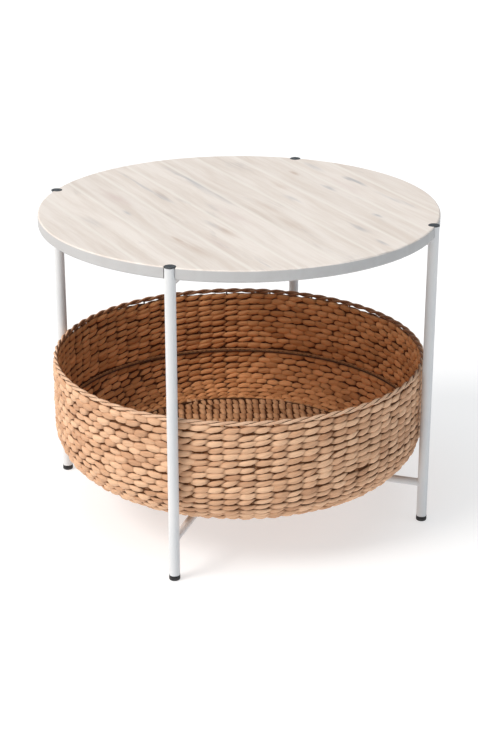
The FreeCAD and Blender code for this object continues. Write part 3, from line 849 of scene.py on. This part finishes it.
profile = core_line(WALL_TOP)
PROFILE_LENGTH = sum(math.dist(a, b) for a, b in zip(profile, profile[1:]))
print("core radius", round(CORE_RADIUS / MM, 1), "corner", round(CORNER / MM, 1),
      "floor level", round(FLOOR_LEVEL / MM, 1), "profile", round(PROFILE_LENGTH / MM, 1), "mm")


# %% [markdown]
# ## Rows round the wall
# For each point the tree works out its row and its column, reads the profile there and swings it round
# the axis. Real twining isn't even: in places the stitches stand in columns and lean, and elsewhere
# every second row is shifted by half a stitch and they lie nearly level. One input gives the direction
# of that second kind of patch and one its width. Another leaves room between two rows for the thin
# strands that run round inside.

# %% Wall tree
def build_wall_tree():
    tree, entry, leave = new_group(
        "twined wall", "GeometryNodeTree",
        [("Profile", "Geometry"), ("Rows", "Int", 20), ("Stitches", "Int", 78), ("Length", "Float", 0.2),
         ("Seam Row", "Float", 99.0), ("Seam Gap", "Float", 0.0), ("Offset", "Float", 0.0),
         ("Column Stitch", "Vector", (0.78, 0.64, 0.31)), ("Brick Stitch", "Vector", (0.74, 0.66, 0.03)),
         ("Column Limit", "Float", 0.5), ("Brick Limit", "Float", 0.66),
         ("Brick Direction", "Vector", (0, 0, 1)), ("Brick From", "Float", 0.6), ("Brick To", "Float", 0.8),
         ("Wander", "Float", 0.25)] + STITCH_INPUTS,
        [("Geometry", "Geometry")],
    )
    points, row, column = lay_points(tree, entry)
    pitch = ratio(tree, less(tree, entry["Length"], entry["Seam Gap"]), entry["Rows"])
    below = calc(tree, "GREATER_THAN", row, less(tree, entry["Seam Row"], 0.5))
    down = total(tree, product(tree, total(tree, row, 0.5), pitch), product(tree, below, entry["Seam Gap"]))
    step = ratio(tree, 2 * math.pi, entry["Stitches"])
    rough_angle = product(tree, column, step)
    level_parts = calc(tree, "COSINE", rough_angle), calc(tree, "SINE", rough_angle)
    direction = combine(tree, *level_parts, 0.0)
    wave = swell(tree, combine(tree, *level_parts, product(tree, row, 0.12)), 2.6, 2.0)
    down = total(tree, down, product(tree, wave, product(tree, pitch, 0.9)))
    down = total(tree, down, product(tree, chance(tree, entry, -0.10, 0.10, 7), pitch))
    drawn = shape(tree, "MeshToCurve", Mesh=entry["Profile"])
    read = add(tree, "GeometryNodeSampleCurve", {"Curves": drawn, "Length": down}, mode="LENGTH")
    facing = vector(tree, "DOT_PRODUCT", direction, entry["Brick Direction"])
    brick = spread(tree, facing, entry["Brick From"], entry["Brick To"], smooth=True)
    odd = calc(tree, "MODULO", row, 2.0)
    slip_place = combine(tree, product(tree, row, 0.9), 3.7, product(tree, facing, 1.3))
    slip = product(tree, swell(tree, slip_place, 1.0, 1.0), entry["Wander"])
    shift = total(tree, product(tree, product(tree, odd, brick), 0.5), slip)
    shift = total(tree, shift, chance(tree, entry, -0.10, 0.10, 8))
    angle = product(tree, total(tree, column, shift), step)

    def swing(value):
        return turn_round(tree, value, angle)

    tangent = split(tree, read.outputs["Tangent"])
    away = combine(tree, product(tree, tangent["Z"], -1.0), 0.0, tangent["X"])
    outward = vector(tree, "SCALE", swing(away), entry["Side"])
    along = vector(tree, "SCALE", swing(combine(tree, 0.0, 1.0, 0.0)), entry["Side"])
    lift = vector(tree, "SCALE", outward, entry["Offset"])
    position = vector(tree, "ADD", swing(read.outputs["Position"]), lift)
    radius = split(tree, read.outputs["Position"])["X"]
    parts = [split(tree, entry[name]) for name in ("Column Stitch", "Brick Stitch")]
    shares = [spread(tree, brick, 0.0, 1.0, parts[0][axis], parts[1][axis]) for axis in "XYZ"]
    limit = spread(tree, brick, 0.0, 1.0, entry["Column Limit"], entry["Brick Limit"])
    finished = lay_stitches(
        tree, entry, points, position, along, outward, product(tree, radius, step, shares[0]),
        product(tree, pitch, shares[1]), product(tree, pitch, shares[2]), product(tree, pitch, limit))
    feed(tree, leave["Geometry"], finished)
    return tree


wall_tree = build_wall_tree()

# %% Weave both faces of the wall
WALL_ROWS, WALL_STITCHES = 20, 78
WALL_SIZES = dict(
    Rows=WALL_ROWS, Stitches=WALL_STITCHES, Length=PROFILE_LENGTH, Thickness=0.0037, Offset=0.0013)
wall_outside = make_by_rule(
    "basket_wall_outside", line_mesh("outside line", profile), wall_tree, Side=1.0, Seed=3,
    Material=wall_strand, Brick_Direction=tuple(seen_from(-66)), Brick_From=math.cos(math.radians(56)),
    Brick_To=math.cos(math.radians(40)), **WALL_SIZES)
wall_inside = make_by_rule(
    "basket_wall_inside", line_mesh("inside line", profile), wall_tree, Side=-1.0, Seed=8,
    Material=inner_strand_painted_shade, Seam_Row=10.0, Seam_Gap=0.007, Brick_Direction=tuple(seen_from(131)),
    Brick_From=math.cos(math.radians(52)), Brick_To=math.cos(math.radians(34)), **WALL_SIZES)


# %% [markdown]
# ## Rows across the floor
# The floor is twined flat: its rows run straight across, and the wall's rows begin where it turns up.
# The tree fills a square with points, and drops those that fall outside the floor's circle.

# %% Floor tree
def build_floor_tree():
    tree, entry, leave = new_group(
        "twined floor", "GeometryNodeTree",
        [("Start", "Geometry"), ("Rows", "Int", 38), ("Stitches", "Int", 20), ("Radius", "Float", 0.2),
         ("Row Pitch", "Float", 0.0115), ("Spacing", "Float", 0.022), ("Level", "Float", 0.0),
         ("Turn", "Float", 0.0), ("Stitch", "Vector", (0.80, 0.58, 0.28)), ("Limit", "Float", 0.51),
         ("Offset", "Float", 0.0), ("Wander", "Float", 0.3)] + STITCH_INPUTS,
        [("Geometry", "Geometry")],
    )
    points, row, column = lay_points(tree, entry)
    middle_row = product(tree, less(tree, entry["Rows"], 1.0), 0.5)
    middle_column = product(tree, less(tree, entry["Stitches"], 1.0), 0.5)
    slip_place = combine(tree, product(tree, row, 0.8), product(tree, column, 0.1), 0.0)
    slip = product(tree, swell(tree, slip_place, 1.0, 1.0), entry["Wander"])
    shift = total(tree, slip, chance(tree, entry, -0.08, 0.08, 8))
    along_by = product(tree, total(tree, less(tree, column, middle_column), shift), entry["Spacing"])
    sway_place = combine(tree, product(tree, column, 0.22), product(tree, row, 0.07), 5.0)
    sway = swell(tree, sway_place, 1.0, 2.0)
    jig = total(tree, sway, chance(tree, entry, -0.08, 0.08, 7))
    across_by = product(tree, total(tree, less(tree, row, middle_row), jig), entry["Row Pitch"])
    place = combine(tree, along_by, across_by, 0.0)
    outside = calc(tree, "GREATER_THAN", vector(tree, "LENGTH", place), entry["Radius"])

    def swing(value):
        return turn_round(tree, value, entry["Turn"])

    level = total(tree, entry["Level"], product(tree, entry["Side"], entry["Offset"]))
    position = vector(tree, "ADD", swing(place), combine(tree, 0.0, 0.0, level))
    outward = combine(tree, 0.0, 0.0, entry["Side"])
    along = swing(combine(tree, 1.0, 0.0, 0.0))
    points, kept = remember(tree, points, position=position, outside=outside)
    inputs = {"Geometry": points, "Selection": kept["outside"]}
    inside = add(tree, "GeometryNodeDeleteGeometry", inputs, domain="POINT").outputs[0]
    shares, pitch = split(tree, entry["Stitch"]), entry["Row Pitch"]
    finished = lay_stitches(
        tree, entry, inside, kept["position"], along, outward, product(tree, entry["Spacing"], shares["X"]),
        product(tree, pitch, shares["Y"]), product(tree, pitch, shares["Z"]),
        product(tree, pitch, entry["Limit"]))
    feed(tree, leave["Geometry"], finished)
    return tree


floor_tree = build_floor_tree()

# %% Weave both faces of the floor
FLOOR_SIZES = dict(
    Radius=FLOOR_RADIUS + 0.002, Level=FLOOR_LEVEL, Turn=LOOK_TURN + math.radians(90), Thickness=0.0036,
    Offset=0.0012, Rows=38, Stitches=22, Spacing=0.021, Material=floor_strand)
floor_inside = make_by_rule(
    "basket_floor_inside", bpy.data.meshes.new("start"), floor_tree, Side=1.0, Seed=21, **FLOOR_SIZES)
floor_outside = make_by_rule(
    "basket_floor_outside", bpy.data.meshes.new("start"), floor_tree, Side=-1.0, Seed=22, **FLOOR_SIZES)


# %% [markdown]
# ## Ropes
# The rim is bound with two slim strands twisted together, and two thinner pairs run round inside, in
# the gap between two rows. A twisted pair is two circles whose points are pushed round a helix, and a
# round section is carried along each.

# %% Rope tree
PLIES = 2


def build_rope_tree():
    tree, entry, leave = new_group(
        "twisted ring", "GeometryNodeTree",
        [("Start", "Geometry"), ("Radius", "Float", 0.28), ("Level", "Float", 0.2), ("Twists", "Int", 35),
         ("Steps", "Int", 600), ("Ply Radius", "Float", 0.0022), ("Ply Offset", "Float", 0.0019),
         ("Flatness", "Float", 1.0), ("Crumple", "Float", 0.0005), ("Material", "Material")],
        [("Geometry", "Geometry")],
    )
    joined = tree.nodes.new("GeometryNodeJoinGeometry")
    for ply in range(PLIES):
        ring = shape(
            tree, "CurvePrimitiveCircle", "RADIUS", Resolution=entry["Steps"], Radius=entry["Radius"])
        index = index_in(tree)
        part = ratio(tree, index, entry["Steps"])
        turned = product(tree, part, entry["Twists"], 2 * math.pi)
        turn = total(tree, turned, 2 * math.pi * ply / PLIES)
        place = place_in(tree)
        radial = vector(tree, "SCALE", vector(tree, "NORMALIZE", place), calc(tree, "COSINE", turn))
        rise = combine(tree, 0.0, 0.0, product(tree, calc(tree, "SINE", turn), entry["Flatness"]))
        push = vector(tree, "SCALE", vector(tree, "ADD", radial, rise), entry["Ply Offset"])
        lift = vector(tree, "ADD", push, combine(tree, 0.0, 0.0, entry["Level"]))
        twisted = shape(tree, "SetPosition", Geometry=ring, Offset=lift)
        run = product(tree, part, product(tree, entry["Twists"], 4.0))
        marked = store(tree, twisted, "run", "FLOAT", total(tree, run, 17.0 * ply))
        ply_place = combine(tree, product(tree, run, 0.6), 9.0 * ply, 0.0)
        for label, scale, *ends in (("tone", 1.0, 0.3, 0.7), ("tint", 2.3, 0.4, 0.8)):
            level = spread(tree, noise(tree, ply_place, scale, 1.0), *ends)
            marked = store(tree, marked, label, "FLOAT", level)
        section = shape(tree, "CurvePrimitiveCircle", "RADIUS", Resolution=8, Radius=entry["Ply Radius"])
        around = vector(tree, "NORMALIZE", place_in(tree))
        section = store(tree, section, "around", "FLOAT_VECTOR", around)
        swept = shape(tree, "CurveToMesh", Curve=marked, Profile_Curve=section)
        named = [add(tree, "GeometryNodeInputNamedAttribute", {"Name": name}, data_type=kind).outputs[0]
                 for name, kind in (("run", "FLOAT"), ("around", "FLOAT_VECTOR"))]
        parts = split(tree, named[1])
        strand = combine(tree, named[0], parts["X"], parts["Y"])
        tree.links.new(store(tree, swept, "strand", "FLOAT_VECTOR", strand), joined.inputs[0])
    feed(tree, leave["Geometry"], crumple(tree, entry, joined.outputs[0]))
    return tree


rope_tree = build_rope_tree()

# %% Bind the rim and lay the thin strands
rim_low, rim_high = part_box("rim_binding")
RIM_LEVEL = (rim_low[2] + rim_high[2]) / 2
RIM_THICK = rim_high[2] - rim_low[2]
rim_rope = make_by_rule(
    "basket_rim_rope", bpy.data.meshes.new("start"), rope_tree, Radius=CORE_RADIUS, Level=RIM_LEVEL,
    Twists=35, Steps=700, Ply_Radius=RIM_THICK * 0.29, Ply_Offset=RIM_THICK * 0.22, Material=rim_strand)

seam_low, seam_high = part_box("middle_ring")
SEAM_LEVEL = (seam_low[2] + seam_high[2]) / 2
SEAM_THIN = 0.0028
SEAM_RADIUS = CORE_RADIUS - WALL_THICK / 2 + 0.0022
seam_ropes = []
for label, lift, twists in (("lower", 0.0, 120), ("upper", 0.0032, 105)):
    rope = make_by_rule(
        "basket_seam_rope_" + label, bpy.data.meshes.new("start"), rope_tree, Radius=SEAM_RADIUS,
        Level=SEAM_LEVEL + lift, Twists=twists, Steps=1400, Ply_Radius=SEAM_THIN * 0.32,
        Ply_Offset=SEAM_THIN * 0.24, Crumple=0.0003, Material=seam_strand)
    seam_ropes.append(rope)


# %% [markdown]
# ## What lies between the two faces
# Between the two faces of stitches stand the uprights that they are twined on. Little of them shows, as
# dark ribs in the chinks, but without them light would pass through the wall. A thin shell is turned
# about the axis, and its radius ripples once for each column of stitches. It stops short of the rim,
# where the real basket lets daylight through.

# %% Ribbed core
def turn_shell(name, line, thickness, ribs, depth, steps_per_rib=4):
    """Turn a line about the axis as a closed shell, with ribs all round, and close it at the axis."""
    count = ribs * steps_per_rib
    tangents = [(Vector(b) - Vector(a)).normalized() for a, b in zip(line, line[1:])]
    tangents.append(tangents[-1])
    shell = bmesh.new()
    rings = []
    faces_of_wall = [(1, line, tangents), (-1, line[::-1], tangents[::-1])]
    for sign, points, ways in faces_of_wall:
        for (radius, height), way in zip(points, ways):
            ring = []
            for step in range(count):
                angle = 2 * math.pi * step / count
                push = sign * (thickness / 2 + depth * max(0.0, math.cos(ribs * angle)))
                r, z = radius - way.y * push, height + way.x * push
                ring.append(shell.verts.new((r * math.cos(angle), r * math.sin(angle), z)))
            rings.append(ring)
    for upper, lower in zip(rings, rings[1:] + rings[:1]):
        if upper is rings[len(line) - 1] or upper is rings[-1]:
            continue
        for i in range(count):
            j = (i + 1) % count
            shell.faces.new((upper[i], lower[i], lower[j], upper[j]))
    top_outer, top_inner = rings[0], rings[-1]
    for i in range(count):
        j = (i + 1) % count
        shell.faces.new((top_outer[i], top_outer[j], top_inner[j], top_inner[i]))
    for ring, flip in ((rings[len(line) - 1], False), (rings[len(line)], True)):
        centre = shell.verts.new((0, 0, sum(v.co.z for v in ring) / count))
        for i in range(count):
            j = (i + 1) % count
            corners = (ring[i], centre, ring[j])
            shell.faces.new(corners[::-1] if flip else corners)
    bmesh.ops.recalc_face_normals(shell, faces=shell.faces[:])
    mesh = bpy.data.meshes.new(name)
    shell.to_mesh(mesh)
    shell.free()
    piece = bpy.data.objects.new(name, mesh)
    bpy.context.scene.collection.objects.link(piece)
    return piece


def core_material():
    material, tree, shader = new_material("shaded uprights", Specular_IOR_Level=0.1)
    where = object_place(tree)
    mask = noise(tree, where, 90.0, 3.0)
    # painted shade: the uprights are real, but their near-black brown stands for the shade in the chinks
    colour = blend_colour(tree, mask, (0.075, 0.028, 0.011, 1), (0.16, 0.065, 0.028, 1))
    finish_shader(tree, shader, colour, spread(tree, mask, 0.3, 0.7, 0.75, 0.95), mask, 0.4, 0.001)
    return material


CORE_TOP = WALL_TOP - 0.006
core = turn_shell("basket_uprights", core_line(CORE_TOP), 0.0004, WALL_STITCHES, 0.0005)
core.data.materials.append(core_material())

# %% [markdown]
# ## Weld beads
# The bars are coped to the tubes they meet and welded all round, and the paint softens each bead. A
# bead's path is where two cylinders meet, which a formula gives, so the paths are drawn as rings of
# edges, and a small tree carries a round section along them.

# %% Paths of the beads
leg_low, leg_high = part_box("leg_right")
LEG_RADIUS = (leg_high[1] - leg_low[1]) / 2
LEG_CIRCLE = (leg_low[0] + leg_high[0]) / 2
BEAD_STEPS = 40
BEAD_SINK = 0.0006


def saddle(level, radius, way, distance, into_leg):
    """A closed ring of points where a bar meets a leg, or where a half bar meets the through bar."""
    beside = Vector((-way.y, way.x, 0))
    points = []
    for step in range(BEAD_STEPS):
        angle = 2 * math.pi * step / BEAD_STEPS
        side, up = radius * math.cos(angle), radius * math.sin(angle)
        if into_leg:
            out = distance - math.sqrt(LEG_RADIUS ** 2 - side ** 2)
        else:
            out = abs(side) + BEAD_SINK
        points.append(way * out + beside * side + Vector((0, 0, level + up)))
    return points


rings = []
for height in ("lower", "upper"):
    low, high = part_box(height + "_through_bar")
    level, radius = (low[2] + high[2]) / 2, (high[2] - low[2]) / 2
    for turn in range(4):
        way = Vector((round(math.cos(turn * math.pi / 2)), round(math.sin(turn * math.pi / 2)), 0))
        rings.append(saddle(level, radius, way, LEG_CIRCLE, True))
        if way.y:
            rings.append(saddle(level, radius - BEAD_SINK, way, 0, False))
print("weld beads", len(rings))


# %% Bead tree
def build_bead_tree():
    tree, entry, leave = new_group(
        "weld bead", "GeometryNodeTree",
        [("Paths", "Geometry"), ("Bead Radius", "Float", 0.001), ("Crumple", "Float", 0.0003),
         ("Material", "Material")],
        [("Geometry", "Geometry")],
    )
    drawn = shape(tree, "MeshToCurve", Mesh=entry["Paths"])
    section = shape(tree, "CurvePrimitiveCircle", "RADIUS", Resolution=8, Radius=entry["Bead Radius"])
    swept = shape(tree, "CurveToMesh", Curve=drawn, Profile_Curve=section)
    feed(tree, leave["Geometry"], crumple(tree, entry, swept))
    return tree


paths = bpy.data.meshes.new("bead paths")
places = [tuple(point) for ring in rings for point in ring]
edges = [(first + i, first + (i + 1) % BEAD_STEPS)
         for first in range(0, len(places), BEAD_STEPS) for i in range(BEAD_STEPS)]
paths.from_pydata(places, edges, [])
weld_beads = make_by_rule("frame_weld_beads", paths, build_bead_tree(), Bead_Radius=0.0011, Material=coat)

# %% [markdown]
# ## The basket's wires
# A wire skeleton stiffens the basket: rings and uprights of thin steel, lacquered brown. Only a glint of
# it shows between the rows.

# %% Lacquered wire
wire = skinned("lacquered wire", (1200.0, 90.0), ((0.09, 0.04, 0.018, 1), (0.15, 0.07, 0.03, 1)),
               (0.4, 0.6), (0.2, 0.0003), Metallic=0.6)
for name in ("rim_wire", "middle_ring", "floor_ring", "upright_wires"):
    finish_node(name, wire)

# %% [markdown]
# ## Fastening everything to its body
# The woven pieces stand for the plain solids of the wall, the floor and the rim, and go where the basket
# goes.

# %% Ride and replace
for piece in (wall_outside, wall_inside, core, floor_inside, floor_outside, rim_rope, *seam_ropes):
    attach(piece, "basket")
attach(weld_beads, "frame")
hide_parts("basket_wall")
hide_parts("basket_floor")
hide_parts("rim_binding")

# %% [markdown]
# ## Size
# The finished table has to keep to the frame's size, so the box round what is shown is worked out.

# %% The box round the scene
low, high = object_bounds()
